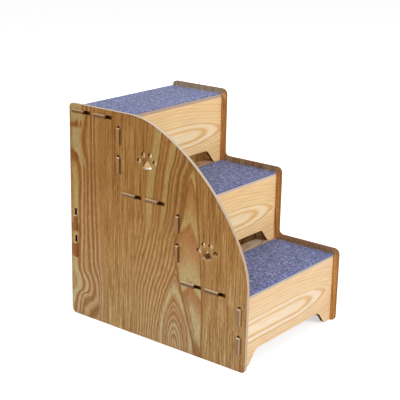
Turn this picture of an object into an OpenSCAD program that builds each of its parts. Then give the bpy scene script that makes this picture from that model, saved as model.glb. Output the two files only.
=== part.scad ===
// Three-step pet stairs made of thin boards that slot together, with a carpet on each tread.
// The stairs climb along +Y. The left side panel is cut along a quarter curve, the right one in steps.

/* [Steps] */
// Height of one step, from tread top to tread top
step_rise = 130; // [100:1:180]
// Depth of one step, from riser to riser
step_run = 133; // [115:1:180]
// Width over the outer faces of the side panels
stair_width = 292; // [220:1:500]
// Thickness of every board
board = 6; // [4:0.5:12]
// How far a riser stands behind the side panels' front edges
riser_setback = 11.5; // [9:0.5:25]
// How far a tread runs on behind the next riser
tread_overlap = 17; // [5:0.5:40]
// How far the top tread ends before the side panels' rear edges
rear_gap = 1; // [0:0.5:20]

/* [Side panels] */
// Height of the side panels above the treads
panel_lip = 10; // [5:0.5:30]
// How far the curve's centre lies inside the left panel's front and top edges
curve_centre = 350; // [250:1:390]
// How far the curve's circle would reach past those two edges
curve_reach = 20; // [5:0.5:40]
// Radius that blends the curve into those two edges
curve_blend = 155; // [60:1:230]
// How far the right panel's front edges lie behind the left panel's front edge, step for step
step_edge_inset = 2; // [0:0.5:5]
// Radius of the right panel's step corners
step_corner_r = 11; // [3:0.5:25]
// Radius in the right panel's inner step corners
step_inner_r = 9; // [1:0.5:20]
// Radius of the side panels' top rear corners
rear_top_r = 8; // [2:0.5:30]
// Radius of the side panels' bottom rear corners
rear_foot_r = 10; // [2:0.5:30]
// Radius of the side panels' bottom front corners
front_foot_r = 7; // [2:0.5:20]

/* [Paw cut-outs] */
// Distance from a step's front edge to the middle of its paw
paw_inset = 84; // [60:1:110]
// Height of the middle of a paw's pad above its tread
paw_height = 58; // [40:1:75]
// Lean of the paws towards the rear, in degrees
paw_tilt = 3; // [-15:1:15]
// Width of a paw's pad
pad_width = 21; // [14:0.5:28]
// Height of a paw's pad
pad_height = 19; // [12:0.5:26]
// Width of a paw's toe
toe_width = 9; // [4:0.5:10]
// Height of a paw's toe
toe_height = 10.5; // [6:0.5:14]

/* [Risers and rail] */
// Height of the cut-out along a riser's foot
cutout_height = 26; // [12:0.5:45]
// Slope of the cut-out's ends, in degrees
cutout_slope = 50; // [35:1:80]
// Rounding of the cut-out's corners
cutout_round = 13; // [3:0.5:20]
// Width of a riser's foot, up to where the cut-out's slope starts
foot_width = 19.5; // [15:0.5:50]
// Height of the gap under the back rail
rail_clear_height = 90; // [40:1:130]
// Height of the back rail
rail_height = 124; // [100:1:150]
// How far the back rail stands inside the side panels' rear edges
rail_setback = 10; // [9:0.5:25]

/* [Hooked tabs] */
// How far a tab's head stands out of the side panel
head_out = 3.5; // [2:0.5:12]
// Distance between the two tabs at a board's end
tab_pitch = 51.5; // [47:0.5:58]
// Length of a tread tab's head
tread_head = 29; // [24:0.5:33]
// How far a tread tab's head hooks over the side panel
tread_hook = 12.5; // [4:0.5:17]
// Distance from a tread's front edge to its first slot
tread_tab_inset = 32.5; // [20:0.5:45]
// Distance from the top tread's rear edge to its last hook
top_tab_inset = 7.5; // [1:0.5:12]
// Length of a riser tab's head
riser_head = 28.8; // [20:0.1:36]
// How far a riser tab's head hooks over the side panel
riser_hook = 3.4; // [2:0.1:8]
// Length of a rail tab's head
rail_head = 28.5; // [20:0.5:34]
// How far a rail tab's head hooks over the side panel
rail_hook = 13; // [4:0.5:14]
// Distance from a riser's or the rail's top edge to its first slot
upright_tab_inset = 8; // [4:0.5:16]
// Free play of a tab in its slot, on each side, which at a tread is all above it
slot_play = 0.25; // [0.1:0.05:0.5]
// Rounding of a head's outer corners
head_corner_r = 1.2; // [0.3:0.1:2.5]

/* [Carpets] */
// Thickness of a carpet
carpet_thickness = 2; // [1:0.5:6]
// Gap between a carpet's ends and the side panels
carpet_side_gap = 1.5; // [0.5:0.5:15]
// Gap between a carpet and the riser behind it
carpet_rear_gap = 6; // [1:0.5:20]

/* [Hidden] */

// Steps, counted from the bottom one
STEPS = [0, 1, 2];
BOTTOM = STEPS[0];
MIDDLE = STEPS[1];
TOP = STEPS[2];

// Directions in which the side panels' edges face, seen along X, in degrees
front_angle = 180;
top_angle = 90;
rear_angle = 0;
floor_angle = -90;

// How far the straight pieces of a rounded outline may run inside the true arc
arc_error = 0.03;
// Points around a toe
toe_points = 24;
// Share of an outline's edge that the rounding of one corner may take
corner_edge_share = 0.49;

stair_depth = len(STEPS) * step_run;
panel_height = len(STEPS) * step_rise + panel_lip;
inner_width = stair_width - 2 * board;
riser_height = step_rise - board;
slot_width = board + 2 * slot_play;
rail_front = stair_depth - rail_setback - board;

// The pad's corners as shares of its width and height, and their rounding as shares of its width
pad_corner_shares = [[0, 0.62, 0.20], [0.52, -0.18, 0.16], [0.36, -0.50, 0.15], [0, -0.36, 0.16],
    [-0.36, -0.50, 0.15], [-0.52, -0.18, 0.16]];
// The toes' middles as shares of the pad's width and height, and their lean towards the middle
toe_shares = [[0.83, 0.29], [0.35, 0.89], [-0.35, 0.89], [-0.83, 0.29]];
toe_leans = [14, 5, -5, -14];

function front_of(step) = step * step_run + riser_setback;
function base_of(step) = step * step_rise;
function top_of(step) = (step + 1) * step_rise;

// A lower tread reaches behind the next riser, the top one to the rear
function tread_depth(step) =
    step == TOP ? stair_depth - rear_gap - front_of(TOP) : step_run + board + tread_overlap;

// A carpet ends before the next riser, the top one at its tread's rear edge
function carpet_depth(step) = step == TOP ? tread_depth(TOP) : step_run - carpet_rear_gap;

// A slot lets its head through. The tab then slides along it until the neck meets the slot's end,
// which leaves the slot open over the length that the head hooks.
function slot_length(head) = head + 2 * slot_play;
function slot_opening(hook) = hook + 2 * slot_play;

// Where the two slots of a tread start, behind its front edge
function tread_slots(step) =
    let (first = step == TOP
        ? tread_depth(TOP) - top_tab_inset - tab_pitch - slot_opening(tread_hook) - tread_head
        : tread_tab_inset)
    [first, first + tab_pitch];

// Where the two slots of an upright board end at the top, above its lower edge
function upright_slots(height) =
    [height - upright_tab_inset, height - upright_tab_inset - tab_pitch];

function unit(v) = v / norm(v);

// Points of an arc that turns from one angle to another about a centre
function arc_points(centre, radius, from, to) =
    let (step = 2 * acos(1 - arc_error / max(radius, arc_error)),
        count = max(2, ceil(abs(to - from) / step)))
    [for (i = [0 : count])
        let (angle = from + (to - from) * i / count)
        centre + radius * [cos(angle), sin(angle)]];

// An outline whose corners [x, y, radius] are rounded, each as far as its edges allow
function rounded_outline(corners) =
    [for (i = [0 : len(corners) - 1])
        let (count = len(corners),
            corner = [corners[i].x, corners[i].y],
            before = corners[(i + count - 1) % count],
            after = corners[(i + 1) % count],
            to_before = [before.x, before.y] - corner,
            to_after = [after.x, after.y] - corner,
            half_angle = acos(unit(to_before) * unit(to_after)) / 2,
            room = corner_edge_share * min(norm(to_before), norm(to_after)),
            radius = min(corners[i].z, room * tan(half_angle)))
        each radius > 0
            ? let (centre = corner + unit(unit(to_before) + unit(to_after)) * radius / sin(half_angle),
                start = corner + unit(to_before) * radius / tan(half_angle) - centre,
                end = corner + unit(to_after) * radius / tan(half_angle) - centre,
                from = atan2(start.y, start.x),
                turn = atan2(start.x * end.y - start.y * end.x, start * end))
                arc_points(centre, radius, from, from + turn)
            : [corner]];

// The left panel, seen along X with the front edge at the origin: a big arc between the front
// and top edges, blended into both, and three small corners
function curved_outline() =
    let (big = [curve_centre, panel_height - curve_centre],
        big_r = curve_centre + curve_reach,
        side = curve_centre - curve_blend,
        along = sqrt(pow(big_r - curve_blend, 2) - pow(side, 2)),
        front_blend = big + [-side, along],
        top_blend = big + [-along, side],
        turn = atan2(along, side))
    concat(
        arc_points(front_blend, curve_blend, front_angle, front_angle - turn),
        arc_points(big, big_r, front_angle - turn, top_angle + turn),
        arc_points(top_blend, curve_blend, top_angle + turn, top_angle),
        arc_points([stair_depth - rear_top_r, panel_height - rear_top_r], rear_top_r,
            top_angle, rear_angle),
        arc_points([stair_depth - rear_foot_r, rear_foot_r], rear_foot_r, rear_angle, floor_angle),
        arc_points([front_foot_r, front_foot_r], front_foot_r, floor_angle, -front_angle));

// The right panel, seen the same way: two corners for each step, then the rear corners
function stepped_outline() =
    rounded_outline(concat(
        [[step_edge_inset, 0, front_foot_r]],
        [for (step = STEPS) each [
            [step * step_run + step_edge_inset, top_of(step) + panel_lip, step_corner_r],
            step == TOP
                ? [stair_depth, panel_height, rear_top_r]
                : [(step + 1) * step_run + step_edge_inset, top_of(step) + panel_lip, step_inner_r]]],
        [[stair_depth, 0, rear_foot_r]]));

// One tab's corners, listed along its slot. It starts at the slot's open end and runs the way 1 or
// -1: a neck through the panel, and a head that hooks over the panel's outer face.
function tab_corners(start, way, head, hook) =
    let (root = inner_width / 2,
        face = root + board,
        from = slot_opening(hook))
    [for (corner = [
        [root, from, 0],
        [face + head_out, from, head_corner_r],
        [face + head_out, from + head, head_corner_r],
        [face, from + head, head_corner_r / 2],
        [face, slot_length(head), 0],
        [root, slot_length(head), 0]])
        [corner.x, start + way * corner.y, corner.z]];

function reversed(list) = [for (i = [len(list) - 1 : -1 : 0]) list[i]];

// A board's outline: its lower or front edge from left to right, the right end's tabs, the other
// edge, and the same tabs at the left end
function board_outline(first_edge, far, right_tabs) =
    rounded_outline(concat(
        first_edge,
        right_tabs,
        [[inner_width / 2, far, 0], [-inner_width / 2, far, 0]],
        [for (corner = reversed(right_tabs)) [-corner.x, corner.y, corner.z]]));

// The tabs of an upright board hook downwards, those of a tread to the rear
function upright_tabs(height, head, hook) =
    reversed([for (end = upright_slots(height)) each tab_corners(end, -1, head, hook)]);
function tread_tabs(step) =
    [for (start = tread_slots(step)) each tab_corners(start, 1, tread_head, tread_hook)];

// A side panel on the side -1 or 1, from its outline in YZ and the cut-outs given as children
module side_panel(side, outline)
    translate([side * (stair_width - board) / 2 - board / 2, -stair_depth / 2, 0])
        rotate([90, 0, 90])
            linear_extrude(board)
                difference() {
                    polygon(outline);
                    panel_slots();
                    children();
                }

// A board in XZ, with its front face behind the side panels' front edges by a distance
module upright_board(front, base, outline)
    translate([0, front + board - stair_depth / 2, base])
        rotate([90, 0, 0])
            linear_extrude(board)
                polygon(outline);

// The slots in a side panel for the treads, the risers and the rail. A tread rests on the floor of
// its slots, with all the play above it.
module panel_slots() {
    for (step = STEPS) {
        for (start = tread_slots(step))
            translate([front_of(step) + start, top_of(step) - board])
                square([slot_length(tread_head), slot_width]);
        for (end = upright_slots(riser_height))
            upright_slot(front_of(step), base_of(step) + end, riser_head);
    }
    for (end = upright_slots(rail_height))
        upright_slot(rail_front, rail_clear_height + end, rail_head);
}

module upright_slot(front, end, head)
    translate([front - slot_play, end - slot_length(head)])
        square([slot_width, slot_length(head)]);

// A paw: a pad with two lobes at its base, and four slim toes
module paw()
    rotate(-paw_tilt) {
        polygon(rounded_outline([for (share = pad_corner_shares)
            [share.x * pad_width, share.y * pad_height, share.z * pad_width]]));
        for (i = [0 : len(toe_shares) - 1])
            translate([toe_shares[i].x * pad_width, toe_shares[i].y * pad_height])
                rotate(-toe_leans[i])
                    polygon([for (k = [0 : toe_points - 1])
                        let (angle = 360 * k / toe_points)
                        [toe_width / 2 * cos(angle), toe_height / 2 * sin(angle)]]);
    }

module left_side_panel()
    color("#a07a4c")
        side_panel(-1, curved_outline())
            for (step = [BOTTOM, MIDDLE])
                translate([step * step_run + paw_inset, top_of(step) + paw_height])
                    paw();

module right_side_panel()
    color("#aa7843")
        side_panel(1, stepped_outline());

// A riser stands on the floor or on the tread below, on two feet with a cut-out between them
module riser(step) {
    end = inner_width / 2;
    heel = end - foot_width;
    shoulder = heel - cutout_height / tan(cutout_slope);
    foot_edge = [
        [-end, 0, 0], [-heel, 0, cutout_round], [-shoulder, cutout_height, cutout_round],
        [shoulder, cutout_height, cutout_round], [heel, 0, cutout_round], [end, 0, 0]];
    color("#ecc795")
        upright_board(front_of(step), base_of(step),
            board_outline(foot_edge, riser_height, upright_tabs(riser_height, riser_head, riser_hook)));
}

module bottom_riser() riser(BOTTOM);
module middle_riser() riser(MIDDLE);
module top_riser() riser(TOP);

// The straight first edge of a tread or the rail
function straight_edge() = [[-inner_width / 2, 0, 0], [inner_width / 2, 0, 0]];

// A tread lies on its riser and hangs in the side panels by its tabs
module tread(step)
    color("#c8a47c")
        translate([0, front_of(step) - stair_depth / 2, top_of(step) - board])
            linear_extrude(board)
                polygon(board_outline(straight_edge(), tread_depth(step), tread_tabs(step)));

module bottom_tread() tread(BOTTOM);
module middle_tread() tread(MIDDLE);
module top_tread() tread(TOP);

module back_rail()
    color("#9a7042")
        upright_board(rail_front, rail_clear_height,
            board_outline(straight_edge(), rail_height, upright_tabs(rail_height, rail_head, rail_hook)));

module carpet(step)
    color("#8388a3")
        translate([carpet_side_gap - inner_width / 2, front_of(step) - stair_depth / 2, top_of(step)])
            cube([inner_width - 2 * carpet_side_gap, carpet_depth(step), carpet_thickness]);

module bottom_carpet() carpet(BOTTOM);
module middle_carpet() carpet(MIDDLE);
module top_carpet() carpet(TOP);

left_side_panel();
right_side_panel();
bottom_riser();
middle_riser();
top_riser();
bottom_tread();
middle_tread();
top_tread();
back_rail();
bottom_carpet();
middle_carpet();
top_carpet();
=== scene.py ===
"""Pet stairs: two side panels, three risers, three treads and a back rail of wood-print board, slotted
together by hooked tabs, with a felt carpet on each tread. Metres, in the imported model's frame."""
import math

import bpy
import bmesh
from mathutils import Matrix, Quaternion, Vector, noise


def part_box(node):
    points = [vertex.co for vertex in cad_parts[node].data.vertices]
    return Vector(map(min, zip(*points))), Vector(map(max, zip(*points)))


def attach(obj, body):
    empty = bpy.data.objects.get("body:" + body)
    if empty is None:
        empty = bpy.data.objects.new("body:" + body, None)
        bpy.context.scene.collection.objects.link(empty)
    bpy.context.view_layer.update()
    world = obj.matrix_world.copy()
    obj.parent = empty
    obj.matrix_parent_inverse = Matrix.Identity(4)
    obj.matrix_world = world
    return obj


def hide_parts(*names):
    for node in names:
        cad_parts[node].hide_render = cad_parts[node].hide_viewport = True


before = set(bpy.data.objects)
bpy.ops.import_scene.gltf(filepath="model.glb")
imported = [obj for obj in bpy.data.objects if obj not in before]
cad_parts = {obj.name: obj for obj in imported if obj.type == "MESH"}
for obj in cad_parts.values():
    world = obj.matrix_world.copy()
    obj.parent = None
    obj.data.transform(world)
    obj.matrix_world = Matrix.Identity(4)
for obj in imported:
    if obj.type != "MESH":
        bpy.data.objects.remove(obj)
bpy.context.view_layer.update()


# Camera: a long lens from the front left and above, at the photograph's distance and angle, with
# the frame's centre on the lens axis.
camera = bpy.data.objects.new("camera", bpy.data.cameras.new("camera"))
bpy.context.scene.collection.objects.link(camera)
bpy.context.scene.camera = camera
bpy.context.scene.view_settings.view_transform = "Standard"
camera.data.sensor_width = 36.0
camera.data.lens = 94.567
camera.data.clip_start = 0.05
camera.data.clip_end = 60.0
camera_heading = 0.908222
camera_dip = 0.301949
camera_roll = 0.021568
camera.location = (-1.439172, -1.107233, 0.792061)
camera.rotation_mode = "QUATERNION"
camera.rotation_quaternion = (
    Quaternion((0.0, 0.0, 1.0), -camera_heading)
    @ Quaternion((1.0, 0.0, 0.0), math.pi / 2 - camera_dip)
    @ Quaternion((0.0, 0.0, 1.0), camera_roll)
)


# Studio: a white sweep of paper under soft daylight. The paper stays white round the object and
# keeps the object's own shadow.
def paint(code):
    """The linear colour, with alpha, of an sRGB hex value."""
    parts = [int(code[i:i + 2], 16) / 255 for i in (1, 3, 5)]
    return [p / 12.92 if p <= 0.04045 else ((p + 0.055) / 1.055) ** 2.4 for p in parts] + [1.0]


def add(tree, kind, links=None, stops=None, **settings):
    """Adds a node to a tree: its settings, its curve or ramp stops, and a value or a link per input,
    where another node stands for its first output in use. A Mix node takes the share at 0, and two
    numbers at 2 and 3 or two colours at 6 and 7."""
    node = tree.nodes.new("ShaderNode" + kind)
    for name, value in settings.items():
        setattr(node, name, value)
    for name, value in (links or {}).items():
        if isinstance(value, bpy.types.Node):
            value = next(socket for socket in value.outputs if socket.enabled)
        if isinstance(value, bpy.types.NodeSocket):
            tree.links.new(value, node.inputs[name])
        else:
            node.inputs[name].default_value = value
    if kind == "FloatCurve":
        points = node.mapping.curves[0].points
        while len(points) < len(stops):
            points.new(0.5, 0.5)
        for point, (x, y) in zip(points, stops):
            point.location = (x, y)
            point.handle_type = "AUTO"
        node.mapping.update()
    elif stops:
        elements = node.color_ramp.elements
        while len(elements) < len(stops):
            elements.new(0.5)
        for element, (x, colour) in zip(elements, stops):
            element.position = x
            element.color = paint(colour)
    return node


def new_finish(name):
    """A new material, and its node tree with nothing in it."""
    material = bpy.data.materials.new(name)
    material.use_nodes = True
    material.node_tree.nodes.clear()
    return material, material.node_tree


daylight_strength = 0.43
world = bpy.data.worlds.new("studio_daylight")
bpy.context.scene.world = world
world.use_nodes = True
sky = world.node_tree
sky.nodes.clear()
ray = add(sky, "LightPath")
strength = add(sky, "MapRange", {"Value": ray.outputs["Is Camera Ray"],
                                 "To Min": daylight_strength, "To Max": 1.0})
daylight = add(sky, "Background", {"Color": paint("#ffffff"), "Strength": strength})
add(sky, "OutputWorld", {"Surface": daylight})

# Matt paper: no gloss. To the camera alone it glows a little, so that it is white up to the shadow.
paper_glow = 0.55
paper, paper_nodes = new_finish("matt_white_paper")
ray = add(paper_nodes, "LightPath")
matt = add(paper_nodes, "BsdfDiffuse", {"Color": paint("#f2f2f2")})
lift = add(paper_nodes, "Math", {0: ray.outputs["Is Camera Ray"], 1: paper_glow}, operation="MULTIPLY")
glow = add(paper_nodes, "Emission", {"Color": paint("#ffffff"), "Strength": lift})
both = add(paper_nodes, "AddShader", {0: matt, 1: glow})
add(paper_nodes, "OutputMaterial", {"Surface": both})

# The paper reaches 6 m each way, and lies a hair below the boards' feet
floor_half = 6.0
floor_drop = 0.0004
sweep = bmesh.new()
bmesh.ops.create_grid(sweep, x_segments=1, y_segments=1, size=floor_half)
bmesh.ops.translate(sweep, verts=sweep.verts, vec=(0.0, 0.0, -floor_drop))
floor_mesh = bpy.data.meshes.new("paper_floor")
sweep.to_mesh(floor_mesh)
sweep.free()
floor = bpy.data.objects.new("paper_floor", floor_mesh)
bpy.context.scene.collection.objects.link(floor)
floor.data.materials.append(paper)

# Softboxes: each one's place, its width in metres and its power in watts, all turned to the object
aim = Vector((0.0, 0.0, 0.2))
softboxes = [
    ("front_softbox", (0.1, -4.0, 2.2), 2.0, 125.0),
    ("rear_left_softbox", (-2.45, 0.55, 1.1), 0.5, 36.0),
    ("right_fill_softbox", (2.3, 0.8, 1.3), 1.4, 20.0),
]
for name, place, width, power in softboxes:
    lamp = bpy.data.lights.new(name, "AREA")
    lamp.shape = "SQUARE"
    lamp.size = width
    lamp.energy = power
    box = bpy.data.objects.new(name, lamp)
    bpy.context.scene.collection.objects.link(box)
    box.location = place
    box.rotation_mode = "QUATERNION"
    box.rotation_quaternion = (aim - Vector(place)).to_track_quat("-Z", "Y")


# Side panels: 6 mm fibreboard faced on both sides with a lacquered ash print whose grain runs up,
# sawn with slots for the other boards' tabs. The outer cut edge is pale and the slots' walls dark
# brown; the paws' walls carry painted shade and painted light.

# A panel is as high as it is deep. The print starts a little behind its rear edge.
panel_side = 0.4
panel_front = -0.1995
print_rear = 0.2005
step_rise = 0.13
step_run = 0.133

# Ash print under satin lacquer: flowing brown and straw bands with a low, broad sheen
wood_side, side = new_finish("lacquered_ash_print_on_fibreboard")
where = add(side, "TexCoord")
at = add(side, "SeparateXYZ", {0: where.outputs["Object"]})
facing = add(side, "SeparateXYZ", {0: where.outputs["Normal"]})

# The print's own plane: across runs from the rear edge to the front, down from the top, both 0 to 1.
# Levels are places on the way down. The print's lines wander a little, and the right panel is cut
# further along the printed sheet.
wander_cell = (0.033, 0.033, 0.11)
wander_reach = 0.022
right_shift = 0.115
wander = add(side, "Mapping", {"Vector": where.outputs["Object"],
                               "Scale": [1 / size for size in wander_cell]})
wander = add(side, "TexNoise", {"Vector": wander, "Scale": 1.0, "Detail": 3.0, "Roughness": 0.55})
wobble = add(side, "Math", {0: wander, 1: 0.5}, operation="SUBTRACT")
across = add(side, "MapRange", {"Value": at.outputs["Y"], "From Min": print_rear,
                                "From Max": panel_front}, clamp=False)
across = add(side, "Math", {0: wobble, 1: wander_reach, 2: across}, operation="MULTIPLY_ADD")
right = add(side, "Math", {0: at.outputs["X"], 1: 0.0}, operation="GREATER_THAN")
across = add(side, "Math", {0: right, 1: right_shift, 2: across}, operation="MULTIPLY_ADD")
down = add(side, "MapRange", {"Value": at.outputs["Z"], "From Min": panel_side, "From Max": 0.0},
           clamp=False)

# Rear strip: bold lines that swing forwards and back. Three curves say how far, at three distances
# from the rear edge, with 0.5 for not at all, and the swing dies out in the plain grain.
swing_reach = 0.0833
strip_width = 0.24
swing_rear = add(side, "FloatCurve", {"Value": down}, [
    (0.0, 0.5), (0.09, 0.4), (0.153, 0.335), (0.2, 0.35), (0.25, 0.43), (0.303, 0.5), (0.5, 0.5),
    (0.607, 0.49), (0.714, 0.45), (0.764, 0.46), (0.803, 0.55), (0.839, 0.61), (0.868, 0.575),
    (0.893, 0.415), (0.947, 0.305), (1.0, 0.26)])
swing_middle = add(side, "FloatCurve", {"Value": down}, [
    (0.0, 0.5), (0.5, 0.5), (0.607, 0.515), (0.714, 0.54), (0.764, 0.575), (0.803, 0.65),
    (0.839, 0.69), (0.868, 0.675), (0.893, 0.625), (0.947, 0.5), (1.0, 0.45)])
swing_front = add(side, "FloatCurve", {"Value": down}, [
    (0.0, 0.5), (0.36, 0.51), (0.5, 0.55), (0.607, 0.575), (0.714, 0.6), (0.764, 0.675),
    (0.803, 0.74), (0.839, 0.775), (0.893, 0.79), (0.947, 0.74), (1.0, 0.67)])
swing = swing_rear
for start, end, onward in ((0.08, 0.125, swing_middle), (0.125, 0.175, swing_front),
                           (0.175, 0.235, 0.5)):
    passed = add(side, "MapRange", {"Value": across, "From Min": start, "From Max": end})
    swing = add(side, "Mix", {0: passed, 2: swing, 3: onward})
swing = add(side, "MapRange", {"Value": swing, "To Min": -swing_reach, "To Max": swing_reach})
strip = add(side, "Math", {0: across, 1: swing}, operation="SUBTRACT")
strip = add(side, "MapRange", {"Value": strip, "From Max": strip_width})
strip_wood = add(side, "ValToRGB", {0: strip}, [
    (0.0, "#a5784c"), (0.07, "#a8824f"), (0.13, "#b39a68"), (0.2, "#ad9160"), (0.235, "#955c2c"),
    (0.27, "#97602e"), (0.3, "#b58f60"), (0.33, "#b69063"), (0.355, "#805127"), (0.38, "#a87a4b"),
    (0.41, "#b48b5c"), (0.435, "#996939"), (0.47, "#8e5e2f"), (0.5, "#b58b5b"), (0.52, "#ae8253"),
    (0.545, "#8a5b2e"), (0.57, "#93643a"), (0.6, "#bd9366"), (0.625, "#916238"), (0.65, "#966840"),
    (0.69, "#b38858"), (0.73, "#a87c4a"), (0.78, "#9f7242"), (0.86, "#a67848"), (1.0, "#a17343")])

# Along the rear edge a brown figure, crossed by a broad pale lane near the top. The curves say how
# strong each is on the way down, and where the lane's front and rear edges run.
lane_softness = 0.012
figure_front = 0.064
brown_share = add(side, "FloatCurve", {"Value": down}, [
    (0.0, 0.0), (0.07, 0.1), (0.088, 0.8), (0.1, 0.9), (0.118, 0.5), (0.2, 0.55), (0.22, 0.95),
    (0.26, 0.7), (0.31, 0.1), (0.548, 0.0), (0.562, 0.7), (0.59, 0.7), (0.605, 0.0), (0.645, 0.0),
    (0.665, 0.8), (0.71, 0.8), (0.725, 0.0), (1.0, 0.0)])
figure_edge = add(side, "MapRange", {"Value": across, "From Min": figure_front,
                                     "From Max": figure_front - lane_softness})
figure = add(side, "Math", {0: figure_edge, 1: brown_share}, operation="MULTIPLY")
strip_face = add(side, "Mix", {0: figure, 6: strip_wood, 7: paint("#8a5729")}, data_type="RGBA")
lane_front = add(side, "FloatCurve", {"Value": down}, [
    (0.0, 0.076), (0.06, 0.09), (0.11, 0.08), (0.156, 0.072), (0.19, 0.074), (0.245, 0.086),
    (0.29, 0.09), (1.0, 0.09)])
lane_middle = add(side, "Math", {0: lane_front, 1: -lane_softness}, operation="ADD")
lane_end = add(side, "MapRange", {"Value": across, "From Min": lane_front, "From Max": lane_middle})
lane_rear = add(side, "FloatCurve", {"Value": down}, [
    (0.0, 0.003), (0.09, 0.012), (0.115, 0.016), (0.205, 0.018), (0.235, 0.052), (1.0, 0.056)])
lane_start = add(side, "Math", {0: lane_rear, 1: lane_softness}, operation="ADD")
lane_start = add(side, "MapRange", {"Value": across, "From Min": lane_rear, "From Max": lane_start})
lane_share = add(side, "FloatCurve", {"Value": down}, [
    (0.0, 0.9), (0.06, 0.9), (0.086, 0.0), (0.097, 0.0), (0.12, 1.0), (0.26, 0.9), (0.31, 0.0),
    (1.0, 0.0)])
lane = add(side, "Math", {0: lane_end, 1: lane_start}, operation="MULTIPLY")
lane = add(side, "Math", {0: lane, 1: lane_share}, operation="MULTIPLY")
strip_face = add(side, "Mix", {0: lane, 6: strip_face, 7: paint("#b09c74")}, data_type="RGBA")

# Plain quarter-sawn grain in the middle, and at the front
plain_cell = (0.0083, 0.0024, 0.07)
plain = add(side, "Mapping", {"Vector": where.outputs["Object"],
                              "Scale": [1 / size for size in plain_cell]})
plain = add(side, "TexNoise", {"Vector": plain, "Scale": 1.0, "Detail": 2.0, "Roughness": 0.6})
plain_wood = add(side, "ValToRGB", {0: plain}, [
    (0.3, "#835426"), (0.41, "#98693a"), (0.5, "#a57946"), (0.6, "#ab804d"), (0.7, "#bd9763")])

# Fan: broad pale and dark bands between the plain grain and the flame figure, leaning rearwards
fan_rear = add(side, "FloatCurve", {"Value": down}, [
    (0.0, 0.5), (0.275, 0.453), (0.5, 0.445), (0.75, 0.425), (1.0, 0.417)])
flame_rear = add(side, "FloatCurve", {"Value": down}, [
    (0.0, 0.74), (0.158, 0.7125), (0.21, 0.6875), (0.29, 0.675), (0.396, 0.658), (0.517, 0.621),
    (0.65, 0.612), (0.75, 0.583), (0.833, 0.554), (0.917, 0.5375), (1.0, 0.53)])
fan = add(side, "MapRange", {"Value": across, "From Min": fan_rear, "From Max": flame_rear})
fan_wood = add(side, "ValToRGB", {0: fan}, [
    (0.0, "#93622f"), (0.03, "#a97f4c"), (0.07, "#b59866"), (0.19, "#b29462"), (0.22, "#855727"),
    (0.25, "#a97a49"), (0.3, "#9a6a38"), (0.35, "#af8250"), (0.4, "#8d5d2c"), (0.44, "#a97c4b"),
    (0.48, "#b4935f"), (0.55, "#b08e5b"), (0.585, "#7e5024"), (0.62, "#b08454"), (0.66, "#8b5c2d"),
    (0.7, "#b28a59"), (0.75, "#97683a"), (0.8, "#83552a"), (0.84, "#b18858"), (0.9, "#9b6c3c"),
    (0.95, "#87582a"), (1.0, "#b59766")])

# Below it, fine lines that lean further, each dark at its rear side and fading forwards
line_count = 8.0
line_wave = 0.12
line_lean = 0.4
line_strength = 0.85
line_rear = (-0.35, -0.1)
line_levels = (0.4, 0.55)
lean_levels = (0.35, 0.75)
fine = add(side, "MapRange", {"Value": across, "From Min": fan_rear, "From Max": flame_rear},
           clamp=False)
fine_start = add(side, "MapRange", {"Value": fine, "From Min": line_rear[0],
                                    "From Max": line_rear[1]})
lag = add(side, "MapRange", {"Value": down, "From Min": lean_levels[0], "From Max": lean_levels[1],
                             "To Min": -line_lean, "To Max": 0.0})
fine = add(side, "Math", {0: fine, 1: lag}, operation="ADD")
fine = add(side, "Math", {0: wobble, 1: line_wave, 2: fine}, operation="MULTIPLY_ADD")
fine = add(side, "Math", {0: fine, 1: line_count}, operation="MULTIPLY")
fine = add(side, "Math", {0: fine}, operation="FRACT")
fine_wood = add(side, "ValToRGB", {0: fine}, [
    (0.0, "#956535"), (0.12, "#865728"), (0.3, "#a37443"), (0.6, "#b9905e"), (0.88, "#aa7c4b"),
    (1.0, "#956535")])
fine_share = add(side, "MapRange", {"Value": down, "From Min": line_levels[0],
                                    "From Max": line_levels[1], "To Max": line_strength})
fine_share = add(side, "Math", {0: fine_share, 1: fine_start}, operation="MULTIPLY")

# Arches: a cone of growth rings cut along its axis, so that rings nest as arches at the foot, round
# inside and pointed outside, and a little wider on the front side
arch_centre = 0.618
front_squeeze = 0.8
arch_squash = 0.26
point_heights = (0.03, 0.09)
point_share = 0.6
ring_reach = 0.1
last_ring = 0.0925
arch_x = add(side, "Math", {0: across, 1: arch_centre}, operation="SUBTRACT")
arch_front = add(side, "Math", {0: arch_x, 1: front_squeeze}, operation="MULTIPLY")
arch_x = add(side, "Math", {0: arch_x, 1: arch_front}, operation="MINIMUM")
arch_up = add(side, "MapRange", {"Value": down, "From Min": 1.0, "From Max": 0.0,
                                 "To Max": arch_squash})
round_ring = add(side, "CombineXYZ", {0: arch_x, 1: arch_up})
round_ring = add(side, "VectorMath", {0: round_ring}, operation="LENGTH")
arch_width = add(side, "Math", {0: arch_x}, operation="ABSOLUTE")
pointed_ring = add(side, "Math", {0: arch_width, 1: arch_up}, operation="ADD")
pointed = add(side, "MapRange", {"Value": arch_up, "From Min": point_heights[0],
                                 "From Max": point_heights[1], "To Max": point_share})
ring = add(side, "Mix", {0: pointed, 2: round_ring, 3: pointed_ring})
ring_share = add(side, "MapRange", {"Value": ring, "From Max": ring_reach})
ring_wood = add(side, "ValToRGB", {0: ring_share}, [
    (0.0, "#96663a"), (0.07, "#b08050"), (0.1, "#b8925f"), (0.16, "#8c5c2f"), (0.2, "#b99766"),
    (0.245, "#96683a"), (0.29, "#b99a68"), (0.345, "#8f6034"), (0.38, "#b48a5a"), (0.44, "#8c5e33"),
    (0.475, "#b18455"), (0.52, "#966840"), (0.55, "#b68c5e"), (0.585, "#8f6034"), (0.62, "#a87646"),
    (0.66, "#ae8050"), (0.7, "#b59868"), (0.79, "#b39462"), (0.83, "#9e6f44"), (0.87, "#b3895a"),
    (0.9, "#93643a"), (1.0, "#9e7046")])

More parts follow.
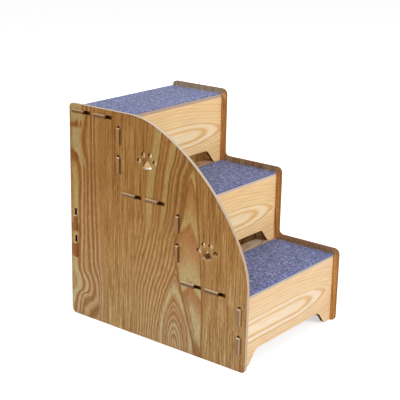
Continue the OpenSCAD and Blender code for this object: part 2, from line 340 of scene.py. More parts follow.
# Flame: pale and brown tongues stacked between the arches and the plain front grain, with rounded
# tips on a spine between the two
tip_round = 0.012
tongue_wave = 0.12
steep_levels = (0.25, 0.5)
steepness = (-2.4, -1.3)
flame_front = add(side, "FloatCurve", {"Value": down}, [
    (0.0, 0.66), (0.15, 0.7125), (0.19, 0.721), (0.333, 0.733), (0.5, 0.75), (0.583, 0.76),
    (1.0, 0.7625)])
arch_side = add(side, "FloatCurve", {"Value": down}, [
    (0.0, 0.74), (0.158, 0.7125), (0.21, 0.6875), (0.29, 0.675), (0.396, 0.658), (0.517, 0.621),
    (0.642, 0.633), (0.8, 0.68), (0.979, 0.733), (1.0, 0.74)])
spine = add(side, "Mix", {0: 0.5, 2: flame_front, 3: arch_side})
lean = add(side, "Math", {0: across, 1: spine}, operation="SUBTRACT")
lean = add(side, "Math", {0: lean}, operation="ABSOLUTE")
lean = add(side, "Math", {0: lean, 1: 0.0, 2: tip_round}, operation="SMOOTH_MAX")
steep = add(side, "MapRange", {"Value": down, "From Min": steep_levels[0],
                               "From Max": steep_levels[1],
                               "To Min": steepness[0], "To Max": steepness[1]})
lean = add(side, "Math", {0: lean, 1: steep, 2: down}, operation="MULTIPLY_ADD")
lean = add(side, "Math", {0: wobble, 1: tongue_wave, 2: lean}, operation="MULTIPLY_ADD")
tongue_wood = add(side, "ValToRGB", {0: lean}, [
    (0.11, "#96683a"), (0.15, "#b0925f"), (0.215, "#b69866"), (0.23, "#9a6433"), (0.265, "#a97545"),
    (0.34, "#b08856"), (0.4, "#b69662"), (0.425, "#a26f40"), (0.48, "#a9784b"), (0.54, "#b08556"),
    (0.59, "#b69765"), (0.66, "#b69966"), (0.685, "#9e6c3e"), (0.74, "#a9774b"), (0.79, "#b39260"),
    (0.9, "#b59763"), (0.95, "#93623a")])

# The zones are laid over each other, with a dark line along each side of the flame
side_line_half = 0.007
front_line_half = 0.004
line_darkness = 0.75
strip_front = (0.235, 0.205)
fade_levels = (0.3, 0.6)
fade_share = 0.6
in_strip = add(side, "MapRange", {"Value": across, "From Min": strip_front[0],
                                  "From Max": strip_front[1]})
in_fan = add(side, "Math", {0: across, 1: fan_rear}, operation="GREATER_THAN")
in_arch = add(side, "Math", {0: ring, 1: last_ring}, operation="LESS_THAN")
off_side = add(side, "Math", {0: across, 1: arch_side}, operation="SUBTRACT")
in_flame = add(side, "Math", {0: off_side, 1: 0.0}, operation="GREATER_THAN")
off_front = add(side, "Math", {0: across, 1: flame_front}, operation="SUBTRACT")
in_front = add(side, "Math", {0: off_front, 1: 0.0}, operation="GREATER_THAN")
fan_fade = add(side, "MapRange", {"Value": down, "From Min": fade_levels[0],
                                  "From Max": fade_levels[1], "To Max": fade_share})
fan_face = add(side, "Mix", {0: fan_fade, 6: fan_wood, 7: plain_wood}, data_type="RGBA")
face = plain_wood
for share, wood in ((in_strip, strip_face), (in_fan, fan_face), (fine_share, fine_wood),
                    (in_flame, tongue_wood), (in_arch, ring_wood), (in_front, plain_wood)):
    face = add(side, "Mix", {0: share, 6: face, 7: wood}, data_type="RGBA")
line_side = add(side, "Math", {0: off_side, 1: 0.0, 2: side_line_half}, operation="COMPARE")
line_front = add(side, "Math", {0: off_front, 1: 0.0, 2: front_line_half}, operation="COMPARE")
lines = add(side, "Math", {0: line_side, 1: line_front}, operation="MAXIMUM")
lines = add(side, "Math", {0: lines, 1: line_darkness}, operation="MULTIPLY")
face = add(side, "Mix", {0: lines, 6: face, 7: paint("#84552a")}, data_type="RGBA")

# Fine streaks, short pores and a slow drift of tone. Real pores are 0.2 mm wide, and these are
# drawn as wide as the render needs to show them. A darker spot is a redder one as well.
streak_cell = (0.0033, 0.0011, 0.067)
streak_tones = (1.24, 1.53)
pore_cell = (0.0033, 0.0013, 0.01)
pore_tones = (0.78, 1.22)
drift_cell = 0.11
drift_tones = (0.95, 1.05)
noise_ends = (0.3, 0.7)
streak = add(side, "Mapping", {"Vector": where.outputs["Object"],
                               "Scale": [1 / size for size in streak_cell]})
streak = add(side, "TexNoise", {"Vector": streak, "Scale": 1.0, "Detail": 2.0})
tone = add(side, "MapRange", {"Value": streak, "From Min": noise_ends[0], "From Max": noise_ends[1],
                              "To Min": streak_tones[0], "To Max": streak_tones[1]})
pores = add(side, "Mapping", {"Vector": where.outputs["Object"],
                              "Scale": [1 / size for size in pore_cell]})
pores = add(side, "TexNoise", {"Vector": pores, "Scale": 1.0, "Detail": 1.0})
pores = add(side, "MapRange", {"Value": pores, "From Min": noise_ends[0], "From Max": noise_ends[1],
                               "To Min": pore_tones[0], "To Max": pore_tones[1]})
tone = add(side, "Math", {0: tone, 1: pores}, operation="MULTIPLY")
drift = add(side, "TexNoise", {"Vector": where.outputs["Object"], "Scale": 1 / drift_cell,
                               "Detail": 1.0})
drift = add(side, "MapRange", {"Value": drift, "From Min": noise_ends[0], "From Max": noise_ends[1],
                               "To Min": drift_tones[0], "To Max": drift_tones[1]})
tone = add(side, "Math", {0: tone, 1: drift}, operation="MULTIPLY")
red_power = 0.75
blue_power = 1.25
red = add(side, "Math", {0: tone, 1: red_power}, operation="POWER")
blue = add(side, "Math", {0: tone, 1: blue_power}, operation="POWER")
tone = add(side, "CombineXYZ", {0: red, 1: tone, 2: blue})
face = add(side, "VectorMath", {0: face, 1: tone}, operation="MULTIPLY")

# The left panel's print pales and cools towards the floor. The right panel is painted lighter all
# over: painted light for its inner face, which stands in shade.
right_panel_painted_light = (1.35, 1.3, 1.2, 1.0)
depth = add(side, "ValToRGB", {0: down}, [
    (0.0, "#c2b69e"), (0.3, "#c4b8a0"), (0.55, "#d4cec5"), (0.92, "#dde6f6")])
depth = add(side, "Mix", {0: right, 6: depth, 7: right_panel_painted_light}, data_type="RGBA")
face = add(side, "Mix", {0: 1.0, 6: face, 7: depth}, data_type="RGBA", blend_type="MULTIPLY")

# The right panel's lips, its inner face above each tread, are painted darker and greyer: painted
# shade, and a painted reflection of the carpets.
lip_front = -0.1975
lip_foot = 0.1315
lip_reflection_share = 0.35
last_stair = 2.0
stair = add(side, "Math", {0: at.outputs["Y"], 1: lip_front}, operation="SUBTRACT")
stair = add(side, "Math", {0: stair, 1: step_run}, operation="DIVIDE")
stair = add(side, "Math", {0: stair}, operation="FLOOR")
stair = add(side, "Math", {0: stair, 1: last_stair}, operation="MINIMUM")
lip = add(side, "Math", {0: stair, 1: step_rise, 2: lip_foot}, operation="MULTIPLY_ADD")
lip = add(side, "Math", {0: at.outputs["Z"], 1: lip}, operation="GREATER_THAN")
lip = add(side, "Math", {0: lip, 1: right}, operation="MULTIPLY")
inward = add(side, "Math", {0: facing.outputs["X"], 1: 0.0}, operation="LESS_THAN")
lip = add(side, "Math", {0: lip, 1: inward}, operation="MULTIPLY")
lip_painted_shade = add(side, "ValToRGB", {0: down}, [(0.1, "#bcd9ff"), (0.25, "#f3ffff")])
face = add(side, "Mix", {0: lip, 6: face, 7: lip_painted_shade}, data_type="RGBA", blend_type="MULTIPLY")
lip = add(side, "Math", {0: lip, 1: lip_reflection_share}, operation="MULTIPLY")
lip_painted_reflection = add(side, "ValToRGB", {0: down}, [(0.1, "#79747d"), (0.25, "#9c8a94")])
face = add(side, "Mix", {0: lip, 6: face, 7: lip_painted_reflection}, data_type="RGBA")

# A dark band along the front of each riser's slots, on the outer faces: the tab heads' painted
# shadow, with the cutter's scorch. Heights are over each step's foot, and places along Y are the
# bottom step's.
low_slot_middle = 0.0462
high_slot_middle = 0.0977
slot_half = 0.0144
shadow_scorch_front = -0.1924
shadow_scorch_full = -0.1885
slot_middle = -0.185
shadow_scorch_share = 0.85
on_step = add(side, "Math", {0: at.outputs["Z"], 1: step_rise}, operation="DIVIDE")
on_step = add(side, "Math", {0: on_step}, operation="FLOOR")
up_step = add(side, "Math", {0: at.outputs["Z"], 1: step_rise}, operation="MODULO")
low_slot = add(side, "Math", {0: up_step, 1: low_slot_middle, 2: slot_half}, operation="COMPARE")
high_slot = add(side, "Math", {0: up_step, 1: high_slot_middle, 2: slot_half}, operation="COMPARE")
at_slot = add(side, "Math", {0: low_slot, 1: high_slot}, operation="MAXIMUM")
ahead = add(side, "Math", {0: on_step, 1: -step_run, 2: at.outputs["Y"]}, operation="MULTIPLY_ADD")
head_shadow_and_scorch = add(side, "MapRange", {"Value": ahead, "From Min": shadow_scorch_front,
                                "From Max": shadow_scorch_full, "To Max": shadow_scorch_share})
behind = add(side, "Math", {0: ahead, 1: slot_middle}, operation="LESS_THAN")
head_shadow_and_scorch = add(side, "Math", {0: head_shadow_and_scorch, 1: behind}, operation="MULTIPLY")
outward = add(side, "Math", {0: at.outputs["X"], 1: facing.outputs["X"]}, operation="MULTIPLY")
outward = add(side, "Math", {0: outward, 1: 0.0}, operation="GREATER_THAN")
head_shadow_and_scorch = add(side, "Math", {0: head_shadow_and_scorch, 1: outward}, operation="MULTIPLY")
head_shadow_and_scorch = add(side, "Math", {0: head_shadow_and_scorch, 1: at_slot}, operation="MULTIPLY")
face = add(side, "Mix", {0: head_shadow_and_scorch, 6: face, 7: paint("#6b4014")}, data_type="RGBA")

# Cut edges: fine fibre speckle, pale round the left panel, dark in its slots and brown on the right
# panel. A hole is what lies a little inside the outline: the curve, the two sides, foot and top.
fibre_size = 0.0011
curve_centre = (0.1505, 0.05)
curve_inner_radius = 0.366
inner_reach = 0.195
middle_height = 0.1995
height_reach = 0.1955
fibre = add(side, "TexNoise", {"Vector": where.outputs["Object"], "Scale": 1 / fibre_size,
                               "Detail": 3.0})
pale_edge = add(side, "ValToRGB", {0: fibre}, [(0.3, "#ad9279"), (0.7, "#c9b39f")])
brown_edge = add(side, "ValToRGB", {0: fibre}, [(0.3, "#784a1c"), (0.7, "#a46f33")])
dark_edge = add(side, "ValToRGB", {0: fibre}, [(0.3, "#4c2d11"), (0.7, "#67421f")])
from_centre = add(side, "CombineXYZ", {0: at.outputs["Y"], 1: at.outputs["Z"]})
from_centre = add(side, "VectorMath", {0: from_centre, 1: (*curve_centre, 0.0)}, operation="DISTANCE")
inside = add(side, "Math", {0: from_centre, 1: curve_inner_radius}, operation="LESS_THAN")
deep = add(side, "Math", {0: at.outputs["Y"], 1: 0.0, 2: inner_reach}, operation="COMPARE")
middle = add(side, "Math", {0: at.outputs["Z"], 1: middle_height, 2: height_reach}, operation="COMPARE")
hole = add(side, "Math", {0: inside, 1: deep}, operation="MULTIPLY")
hole = add(side, "Math", {0: hole, 1: middle}, operation="MULTIPLY")

# The paws' walls are painted darker where they face down and paler where they face up: painted
# shade and painted light. A pad's differ less than its toes'
paws = [(0.0175, 0.318), (-0.1155, 0.188)]
pad_reach = 0.0135
paw_reach = 0.027
hole_edge = dark_edge
wall_light_share = add(side, "MapRange", {"Value": facing.outputs["Z"], "From Min": -1.0})
toe_wall_light_and_shade = add(side, "ValToRGB", {0: wall_light_share}, [
    (0.5, "#6f4818"), (0.6, "#8a6232"), (0.7, "#dcb88c"), (1.0, "#e0bd92")])
pad_wall_light_and_shade = add(side, "ValToRGB", {0: wall_light_share}, [
    (0.2, "#a0703c"), (0.5, "#b98a58"), (0.7, "#d2b08a")])
for paw in paws:
    near = add(side, "CombineXYZ", {0: at.outputs["Y"], 1: at.outputs["Z"]})
    near = add(side, "VectorMath", {0: near, 1: (*paw, 0.0)}, operation="DISTANCE")
    at_pad = add(side, "Math", {0: near, 1: pad_reach}, operation="LESS_THAN")
    near = add(side, "Math", {0: near, 1: paw_reach}, operation="LESS_THAN")
    wall = add(side, "Mix", {0: at_pad, 6: toe_wall_light_and_shade, 7: pad_wall_light_and_shade}, data_type="RGBA")
    hole_edge = add(side, "Mix", {0: near, 6: hole_edge, 7: wall}, data_type="RGBA")

# Raw edges are rough and the lacquered faces satin, with the streaks just felt in the lacquer. A
# surface faces along an axis where that takes over half of its normal.
half_normal = 0.5
edge_roughness = 0.85
satin = (0.42, 0.58)
lacquer_shine = 0.06
relief_strength = 0.25
relief_depth = 0.0001
# Outer edges that face up are painted paler: painted light from above
edge_top_light = add(side, "MapRange", {"Value": facing.outputs["Z"], "From Min": half_normal})
outer_edge = add(side, "Mix", {0: edge_top_light, 6: pale_edge, 7: paint("#d4c8b8")}, data_type="RGBA")
edge = add(side, "Mix", {0: hole, 6: outer_edge, 7: hole_edge}, data_type="RGBA")
edge = add(side, "Mix", {0: right, 6: edge, 7: brown_edge}, data_type="RGBA")
flat = add(side, "Math", {0: facing.outputs["X"]}, operation="ABSOLUTE")
flat = add(side, "Math", {0: flat, 1: half_normal}, operation="GREATER_THAN")
board = add(side, "Mix", {0: flat, 6: edge, 7: face}, data_type="RGBA")
gloss = add(side, "MapRange", {"Value": streak, "To Min": satin[0], "To Max": satin[1]})
gloss = add(side, "Mix", {0: flat, 2: edge_roughness, 3: gloss})
relief = add(side, "Bump", {"Height": streak, "Strength": relief_strength, "Distance": relief_depth})
lacquer = add(side, "BsdfPrincipled", {"Base Color": board, "IOR": 1.5,
                                       "Specular IOR Level": lacquer_shine,
                                       "Roughness": gloss, "Normal": relief})
add(side, "OutputMaterial", {"Surface": lacquer})
for name in ("left_side_panel", "right_side_panel"):
    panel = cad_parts[name]
    panel.data.materials.clear()
    panel.data.materials.append(wood_side)


# Risers: the same board with a pale ash print laid sideways, so that its growth rings show as long
# loops with rounded ends. Each has a cut-out along its foot and hooked tabs at its ends.

# The panels' faces, how far the print moves on from board to board, and where it starts on a tread
outer_face = 0.1461
inner_face = 0.1395
print_shift = 0.012
tread_print = 0.24


def sideways_board(name, up_axis, pitch, colours, ground, edge_colours, end_shade_colours, head_colour_light_and_shade,
                   tints, shaded_cutout):
    """A wood-print board with its grain along X, and up_axis, Z or Y, across the grain. Boards repeat
    every pitch upwards. Colours run over the growth rings from the cone's axis outwards and fade to
    the ground. Heads and tints run from the lowest board to the highest, and the heads' colours and
    ends paint light and shade on the tab heads. The last argument darkens a cut-out's walls with
    painted shade."""
    material, tree = new_finish(name)
    where = add(tree, "TexCoord")
    at = add(tree, "SeparateXYZ", {0: where.outputs["Object"]})
    facing = add(tree, "SeparateXYZ", {0: where.outputs["Normal"]})

    # Each board has the same print, cut a little further along the sheet. Up starts at a riser's
    # foot, which the play counts with its riser, and on a tread where the print has no loops.
    foot_play = 0.0005
    height = add(tree, "Math", {0: at.outputs["Z"], 1: foot_play}, operation="ADD")
    board_number = add(tree, "Math", {0: height, 1: pitch}, operation="DIVIDE")
    board_number = add(tree, "Math", {0: board_number}, operation="FLOOR")
    if up_axis == "Z":
        up = add(tree, "Math", {0: board_number, 1: -pitch, 2: at.outputs["Z"]},
                 operation="MULTIPLY_ADD")
    else:
        up = add(tree, "Math", {0: board_number, 1: -step_run, 2: at.outputs["Y"]},
                 operation="MULTIPLY_ADD")
        up = add(tree, "Math", {0: up, 1: tread_print}, operation="ADD")
    along = add(tree, "Math", {0: board_number, 1: -print_shift, 2: at.outputs["X"]},
                operation="MULTIPLY_ADD")

    # Growth rings: a cone cut along its axis, with its point to the left and a slow wander, round
    # near the axis and pointed further out. Below the axis the rings are stronger than above it.
    axis_height = 0.0645
    wander_size = (0.165, 0.033)
    wander_step = 0.3
    ring_wander = 0.007
    cone_point = 0.009
    cone_slope = 0.2
    ring_span = 0.064
    sharp_range = (0.014, 0.04)
    sharp_limit = 0.65
    faint_range = (-0.004, 0.008)
    faint_limit = 0.3
    wander = add(tree, "CombineXYZ", {0: along, 1: up, 2: board_number})
    wander = add(tree, "Mapping", {"Vector": wander,
                                   "Scale": (1 / wander_size[0], 1 / wander_size[1], wander_step)})
    wander = add(tree, "TexNoise", {"Vector": wander, "Scale": 1.0, "Detail": 3.0})
    wobble = add(tree, "Math", {0: wander, 1: 0.5}, operation="SUBTRACT")
    off_axis = add(tree, "Math", {0: up, 1: axis_height}, operation="SUBTRACT")
    off_axis = add(tree, "Math", {0: wobble, 1: ring_wander, 2: off_axis}, operation="MULTIPLY_ADD")
    cone = add(tree, "Math", {0: along, 1: cone_point}, operation="SUBTRACT")
    cone = add(tree, "Math", {0: cone, 1: cone_slope}, operation="MULTIPLY")
    cone = add(tree, "Math", {0: cone, 1: 0.0}, operation="MAXIMUM")
    flank = add(tree, "Math", {0: off_axis}, operation="ABSOLUTE")
    blunt = add(tree, "CombineXYZ", {0: flank, 1: cone})
    blunt = add(tree, "VectorMath", {0: blunt}, operation="LENGTH")
    sharp = add(tree, "Math", {0: flank, 1: cone}, operation="ADD")
    sharp_share = add(tree, "MapRange", {"Value": blunt, "From Min": sharp_range[0],
                                         "From Max": sharp_range[1], "To Max": sharp_limit})
    ring = add(tree, "Mix", {0: sharp_share, 2: blunt, 3: sharp})
    ring = add(tree, "MapRange", {"Value": ring, "From Max": ring_span})
    face = add(tree, "ValToRGB", {0: ring}, colours)
    faint = add(tree, "MapRange", {"Value": off_axis, "From Min": faint_range[0],
                                   "From Max": faint_range[1], "To Max": faint_limit})
    face = add(tree, "Mix", {0: faint, 6: face, 7: paint(ground)}, data_type="RGBA")

    # Fine streaks along the grain, drawn wide enough to show, and other ones on each board
    streak_size = (0.045, 0.00125)
    streak_step = 7.0
    board_tones = (0.86, 1.11)
    streak = add(tree, "CombineXYZ", {0: along, 1: up, 2: board_number})
    streak = add(tree, "Mapping", {"Vector": streak,
                                   "Scale": (1 / streak_size[0], 1 / streak_size[1], streak_step)})
    streak = add(tree, "TexNoise", {"Vector": streak, "Scale": 1.0, "Detail": 3.0})
    tone = add(tree, "MapRange", {"Value": streak, "From Min": noise_ends[0],
                                  "From Max": noise_ends[1],
                                  "To Min": board_tones[0], "To Max": board_tones[1]})
    face = add(tree, "VectorMath", {0: face, "Scale": tone}, operation="SCALE")

    # Cut edges with fibre speckle. Ends that face sideways are painted darker: outside the panels a
    # tab head's, as painted shade, and between a panel's faces a neck's, darker still as painted shade
    # in the slot.
    fibre = add(tree, "TexNoise", {"Vector": where.outputs["Object"], "Scale": 1 / fibre_size,
                                   "Detail": 3.0})
    edge = add(tree, "ValToRGB", {0: fibre}, edge_colours)
    end = add(tree, "ValToRGB", {0: fibre}, end_shade_colours)
    tab_painted_shade = add(tree, "ValToRGB", {0: fibre}, [(0.3, "#4a2608"), (0.7, "#653810")])
    reach = add(tree, "Math", {0: at.outputs["X"]}, operation="ABSOLUTE")
    head = add(tree, "Math", {0: reach, 1: outer_face}, operation="GREATER_THAN")
    end = add(tree, "Mix", {0: head, 6: tab_painted_shade, 7: end}, data_type="RGBA")
    end_normal = 0.7
    sideways = add(tree, "Math", {0: facing.outputs["X"]}, operation="ABSOLUTE")
    sideways = add(tree, "Math", {0: sideways, 1: end_normal}, operation="GREATER_THAN")
    beyond = add(tree, "Math", {0: reach, 1: inner_face}, operation="GREATER_THAN")
    sideways = add(tree, "Math", {0: sideways, 1: beyond}, operation="MULTIPLY")
    edge = add(tree, "Mix", {0: sideways, 6: edge, 7: end}, data_type="RGBA")

    # An upright board's heads are painted pale on top, as painted light from above. A tread's heads have
    # a painted highlight along the top arris, its necks and heads dark fronts as painted shade, and the
    # two lower treads' front edges loose felt fibres from the carpets.
    if up_axis == "Z":
        top = add(tree, "Math", {0: facing.outputs["Z"], 1: half_normal}, operation="GREATER_THAN")
        top = add(tree, "Math", {0: top, 1: head}, operation="MULTIPLY")
        edge = add(tree, "Mix", {0: top, 6: edge, 7: paint("#ebd0ae")}, data_type="RGBA")
    else:
        arris_highlight_depth = 0.0011
        fibre_depth = 0.0018
        over_top = 0.0002
        carpet_reach = 0.1385
        third_step = 0.27
        arris_highlight = add(tree, "Math", {0: at.outputs["Z"], 1: arris_highlight_depth}, operation="ADD")
        arris_highlight = add(tree, "Math", {0: arris_highlight, 1: pitch}, operation="MODULO")
        arris_highlight = add(tree, "Math", {0: arris_highlight, 1: arris_highlight_depth + over_top}, operation="LESS_THAN")
        arris_highlight = add(tree, "Math", {0: arris_highlight, 1: head}, operation="MULTIPLY")
        edge = add(tree, "Mix", {0: arris_highlight, 6: edge, 7: paint("#d2b18a")}, data_type="RGBA")
        front = add(tree, "Math", {0: facing.outputs["Y"]}, operation="ABSOLUTE")
        front = add(tree, "Math", {0: front, 1: half_normal}, operation="GREATER_THAN")
        front = add(tree, "Math", {0: front, 1: beyond}, operation="MULTIPLY")
        edge = add(tree, "Mix", {0: front, 6: edge, 7: tab_painted_shade}, data_type="RGBA")
        fibres = add(tree, "Math", {0: at.outputs["Z"], 1: fibre_depth}, operation="ADD")
        fibres = add(tree, "Math", {0: fibres, 1: pitch}, operation="MODULO")
        fibres = add(tree, "Math", {0: fibres, 1: fibre_depth + over_top}, operation="LESS_THAN")
        lower = add(tree, "Math", {0: at.outputs["Z"], 1: third_step}, operation="LESS_THAN")
        fibres = add(tree, "Math", {0: fibres, 1: lower}, operation="MULTIPLY")
        under = add(tree, "Math", {0: at.outputs["X"], 1: 0.0, 2: carpet_reach}, operation="COMPARE")
        fibres = add(tree, "Math", {0: fibres, 1: under}, operation="MULTIPLY")
        forward = add(tree, "Math", {0: facing.outputs["Y"], 1: -half_normal}, operation="LESS_THAN")
        fibres = add(tree, "Math", {0: fibres, 1: forward}, operation="MULTIPLY")
        edge = add(tree, "Mix", {0: fibres, 6: edge, 7: paint("#6d6c88")}, data_type="RGBA")

    # A cut-out's walls are painted a dark warm brown, as painted shade
    if shaded_cutout:
        cutout_height = 0.0275
        cutout_reach = 0.128
        cutout_shade_colour = add(tree, "ValToRGB", {0: fibre}, [(0.3, "#5a3316"), (0.7, "#7d4e28")])
        low = add(tree, "Math", {0: up, 1: cutout_height}, operation="LESS_THAN")
        within = add(tree, "Math", {0: at.outputs["X"], 1: 0.0, 2: cutout_reach}, operation="COMPARE")
        low = add(tree, "Math", {0: low, 1: within}, operation="MULTIPLY")
        edge = add(tree, "Mix", {0: low, 6: edge, 7: cutout_shade_colour}, data_type="RGBA")

    # Face or edge, in the tint of its step, and the same satin lacquer as the side panels
    flat = add(tree, "Math", {0: facing.outputs["Y" if up_axis == "Z" else "Z"]}, operation="ABSOLUTE")
    flat = add(tree, "Math", {0: flat, 1: half_normal}, operation="GREATER_THAN")
    # The tab heads' faces take the head colours, which paint light and shade: on the risers pale at the
    # bottom step and dark above, on the treads pale.
    share = add(tree, "MapRange", {"Value": board_number, "From Max": last_stair})
    head_face = add(tree, "ValToRGB", {0: share}, head_colour_light_and_shade)
    face = add(tree, "Mix", {0: head, 6: face, 7: head_face}, data_type="RGBA")
    board = add(tree, "Mix", {0: flat, 6: edge, 7: face}, data_type="RGBA")
    tint = add(tree, "ValToRGB", {0: share}, tints)
    board = add(tree, "Mix", {0: 1.0, 6: board, 7: tint}, data_type="RGBA", blend_type="MULTIPLY")
    gloss = add(tree, "MapRange", {"Value": streak, "To Min": satin[0], "To Max": satin[1]})
    gloss = add(tree, "Mix", {0: flat, 2: edge_roughness, 3: gloss})
    relief = add(tree, "Bump", {"Height": streak, "Strength": relief_strength, "Distance": relief_depth})
    lacquer = add(tree, "BsdfPrincipled", {"Base Color": board, "IOR": 1.5,
                                           "Specular IOR Level": lacquer_shine,
                                           "Roughness": gloss, "Normal": relief})
    add(tree, "OutputMaterial", {"Surface": lacquer})
    return material


# Pale ash print under satin lacquer: cream ground, honey loops, low sheen
riser_wood = sideways_board(
    name="lacquered_pale_ash_print", up_axis="Z", pitch=step_rise,
    colours=[
        (0.0, "#f3dfbb"), (0.11, "#f1dab3"), (0.145, "#e9c896"), (0.165, "#dfb377"), (0.19, "#e2b67c"),
        (0.21, "#efd3a6"), (0.245, "#f3dfc0"), (0.29, "#f2dcb8"), (0.315, "#e0b57c"),
        (0.345, "#dfb47a"), (0.365, "#f0d3a5"), (0.41, "#eccb9a"), (0.43, "#e3bb86"),
        (0.46, "#efd2a5"), (0.5, "#edcc9b"), (0.52, "#e1b781"), (0.55, "#eecf9f"), (0.6, "#ebca98"),
        (0.625, "#e2b984"), (0.66, "#eece9f"), (0.72, "#e9c693"), (0.75, "#deb27a"), (0.78, "#edcc9c"),
        (0.84, "#e5bd88"), (0.88, "#eecea0"), (0.94, "#e2b983"), (1.0, "#ecca9b"),
    ],
    ground="#eccd9f",
    edge_colours=[(0.3, "#b98c62"), (0.7, "#dab48b")],
    end_shade_colours=[(0.3, "#7d5f42"), (0.7, "#a08260")],
    head_colour_light_and_shade=[(0.0, "#d6b08a"), (0.5, "#7a4a1c"), (1.0, "#7a4a1c")],
    tints=[(0.0, "#f3f4fe"), (0.5, "#f9f5ee"), (1.0, "#faf6f0")],
    shaded_cutout=True)
for name in ("bottom_riser", "middle_riser", "top_riser"):
    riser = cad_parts[name]
    riser.data.materials.clear()
    riser.data.materials.append(riser_wood)


# Treads: level boards of the same fibreboard, hooked into the panels. They are seen only in the bare
# strip behind each carpet, at the raw front edge over the riser, and in the tab heads outside.

# Ash print under satin lacquer: a rosy buff with quiet bands
tread_wood = sideways_board(
    name="lacquered_mid_ash_print", up_axis="Y", pitch=step_rise,
    colours=[
        (0.0, "#eac9a6"), (0.12, "#e5c29d"), (0.165, "#cda37a"), (0.2, "#e8c7a3"), (0.29, "#ebcca9"),
        (0.32, "#cba078"), (0.36, "#e6c39e"), (0.43, "#d2a980"), (0.5, "#e7c4a0"), (0.55, "#d7b088"),
        (0.62, "#e9c8a5"), (0.7, "#d0a781"), (0.78, "#e4c19b"), (0.9, "#d8b18b"), (1.0, "#e6c3a0"),
    ],
    ground="#e0bd97",
    edge_colours=[(0.3, "#c3a896"), (0.7, "#dcc8bc")],
    end_shade_colours=[(0.3, "#6e5138"), (0.7, "#8a6b4c")],
    head_colour_light_and_shade=[(0.0, "#f0d6ae"), (1.0, "#f0d6ae")],
    tints=[(0.0, "#e2ebf8"), (0.5, "#f1f7ff"), (1.0, "#dfd7d0")],
    shaded_cutout=False)
for name in ("bottom_tread", "middle_tread", "top_tread"):
    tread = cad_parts[name]
    tread.data.materials.clear()
    tread.data.materials.append(tread_wood)


# Back rail: one upright board that ties the side panels together at the rear, cut sideways from
# their darker print and held by tabs at both ends like the rest.

# Ash print under satin lacquer: the panels' brown, with its bands lying down
rail_wood = sideways_board(
    name="lacquered_ash_print_rail", up_axis="Z", pitch=panel_side,
    colours=[
        (0.0, "#a87c4c"), (0.14, "#8a5b2d"), (0.2, "#b08655"), (0.32, "#855629"), (0.38, "#ad8252"),
        (0.45, "#93643a"), (0.55, "#b18858"), (0.66, "#8e5f31"), (0.78, "#ad8151"), (0.9, "#96683a"),
        (1.0, "#a87b4a"),
    ],
    ground="#a07343",
    edge_colours=[(0.3, "#a5764e"), (0.7, "#cfa67c")],
    end_shade_colours=[(0.3, "#744729"), (0.7, "#95623c")],
    head_colour_light_and_shade=[(0.0, "#8f6338"), (1.0, "#8f6338")],
    tints=[(0.0, "#ffffff"), (1.0, "#ffffff")],
    shaded_cutout=False)
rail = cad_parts["back_rail"]
rail.data.materials.clear()
rail.data.materials.append(rail_wood)


# Carpets: 2 mm needle-punched felt of blue-grey mixed fibres, cut to the tread and glued flat. The
# cut edge is softened by loose fibres, and the top is slightly uneven.

# Needle-punched felt: matt, with light and dark blue flecks of mixed fibres and a faint sheen of
# loose ones. Real fibres are 0.03 mm thick, so flecks and pile are drawn as coarse as they show.
fleck_size = 0.0042
tint_size = 0.0083
tint_share = 0.35
pile_size = 0.0011
pile_depth = 0.0006
pile_strength = 0.6
felt, felt_nodes = new_finish("needle_punched_felt")
where = add(felt_nodes, "TexCoord")
fleck = add(felt_nodes, "TexNoise", {"Vector": where.outputs["Object"], "Scale": 1 / fleck_size,
                                     "Detail": 4.0, "Roughness": 0.76})
felt_colour = add(felt_nodes, "ValToRGB", {0: fleck}, [
    (0.33, "#2e376a"), (0.426, "#555f96"), (0.5, "#727baa"), (0.574, "#9199c6"), (0.67, "#c5cae9")])
tint = add(felt_nodes, "TexNoise", {"Vector": where.outputs["Object"], "Scale": 1 / tint_size,
                                    "Detail": 2.0})
tint_colour = add(felt_nodes, "ValToRGB", {0: tint}, [
    (0.35, "#7f7f7f"), (0.45, "#808079"), (0.6, "#7a7a8c"), (0.7, "#7d7684")])
felt_colour = add(felt_nodes, "Mix", {0: tint_share, 6: felt_colour, 7: tint_colour},
                  data_type="RGBA", blend_type="OVERLAY")

# Each carpet is a little worn and paler along its front, and the middle one is a shade darker
front_edge = -0.188
worn_depth = 0.045
worn_tone = 1.1
middle_number = 2.0
middle_shade = -0.08
at = add(felt_nodes, "SeparateXYZ", {0: where.outputs["Object"]})
carpet_number = add(felt_nodes, "Math", {0: at.outputs["Z"], 1: step_rise}, operation="DIVIDE")
carpet_number = add(felt_nodes, "Math", {0: carpet_number}, operation="FLOOR")
inset = add(felt_nodes, "Math", {0: carpet_number, 1: -step_run, 2: at.outputs["Y"]},
            operation="MULTIPLY_ADD")
worn = add(felt_nodes, "MapRange", {"Value": inset, "From Min": front_edge - step_run,
                                    "From Max": front_edge - step_run + worn_depth,
                                    "To Min": worn_tone, "To Max": 1.0})
middle = add(felt_nodes, "Math", {0: carpet_number, 1: middle_number, 2: 0.5}, operation="COMPARE")
shade = add(felt_nodes, "Math", {0: middle, 1: middle_shade, 2: worn}, operation="MULTIPLY_ADD")
felt_colour = add(felt_nodes, "VectorMath", {0: felt_colour, "Scale": shade}, operation="SCALE")
pile = add(felt_nodes, "TexNoise", {"Vector": where.outputs["Object"], "Scale": 1 / pile_size,
                                    "Detail": 2.0})
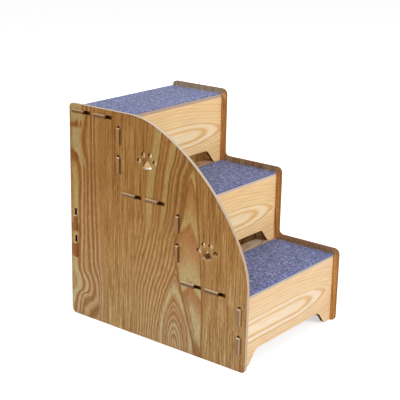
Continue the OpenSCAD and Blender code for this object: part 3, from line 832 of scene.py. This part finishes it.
relief = add(felt_nodes, "Bump", {"Height": pile, "Strength": pile_strength, "Distance": pile_depth})
cloth = add(felt_nodes, "BsdfPrincipled", {"Base Color": felt_colour, "Roughness": 0.95,
                                           "IOR": 1.45, "Sheen Weight": 0.1, "Sheen Roughness": 0.5,
                                           "Normal": relief})
add(felt_nodes, "OutputMaterial", {"Surface": cloth})

# Each sheet is a fine grid with its rim let down, a top that waves about every 4 mm, walls drawn
# down to the tread and a flat underside
cell = 0.0016
edge_drop = 0.0006
unevenness = 0.00025
wave_scale = 260.0
glue_gap = 0.00002
for step in ("bottom", "middle", "top"):
    low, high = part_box(step + "_carpet")
    size = high - low
    cloth_form = bmesh.new()
    bmesh.ops.create_grid(cloth_form, x_segments=round(size.x / cell),
                          y_segments=round(size.y / cell), size=0.5)
    bmesh.ops.scale(cloth_form, verts=cloth_form.verts, vec=(size.x, size.y, 1.0))
    bmesh.ops.translate(cloth_form, verts=cloth_form.verts,
                        vec=((low.x + high.x) / 2, (low.y + high.y) / 2, high.z))
    rim = [e for e in cloth_form.edges if e.is_boundary]
    for v in cloth_form.verts:
        drop = edge_drop if v.is_boundary else 0.0
        v.co.z -= drop + unevenness * (1 + noise.noise(v.co * wave_scale))
    walls = bmesh.ops.extrude_edge_only(cloth_form, edges=rim)["geom"]
    foot = [g for g in walls if isinstance(g, bmesh.types.BMVert)]
    for v in foot:
        v.co.z = low.z + glue_gap
    bmesh.ops.contextual_create(cloth_form, geom=[g for g in walls
                                                  if isinstance(g, bmesh.types.BMEdge)
                                                  and g.is_boundary])
    bmesh.ops.recalc_face_normals(cloth_form, faces=cloth_form.faces)
    for f in cloth_form.faces:
        f.smooth = len(f.verts) == 4
    carpet_mesh = bpy.data.meshes.new(step + "_felt_carpet")
    cloth_form.to_mesh(carpet_mesh)
    cloth_form.free()
    carpet = bpy.data.objects.new(step + "_felt_carpet", carpet_mesh)
    bpy.context.scene.collection.objects.link(carpet)
    carpet.data.materials.append(felt)
    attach(carpet, "root")
    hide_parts(step + "_carpet")
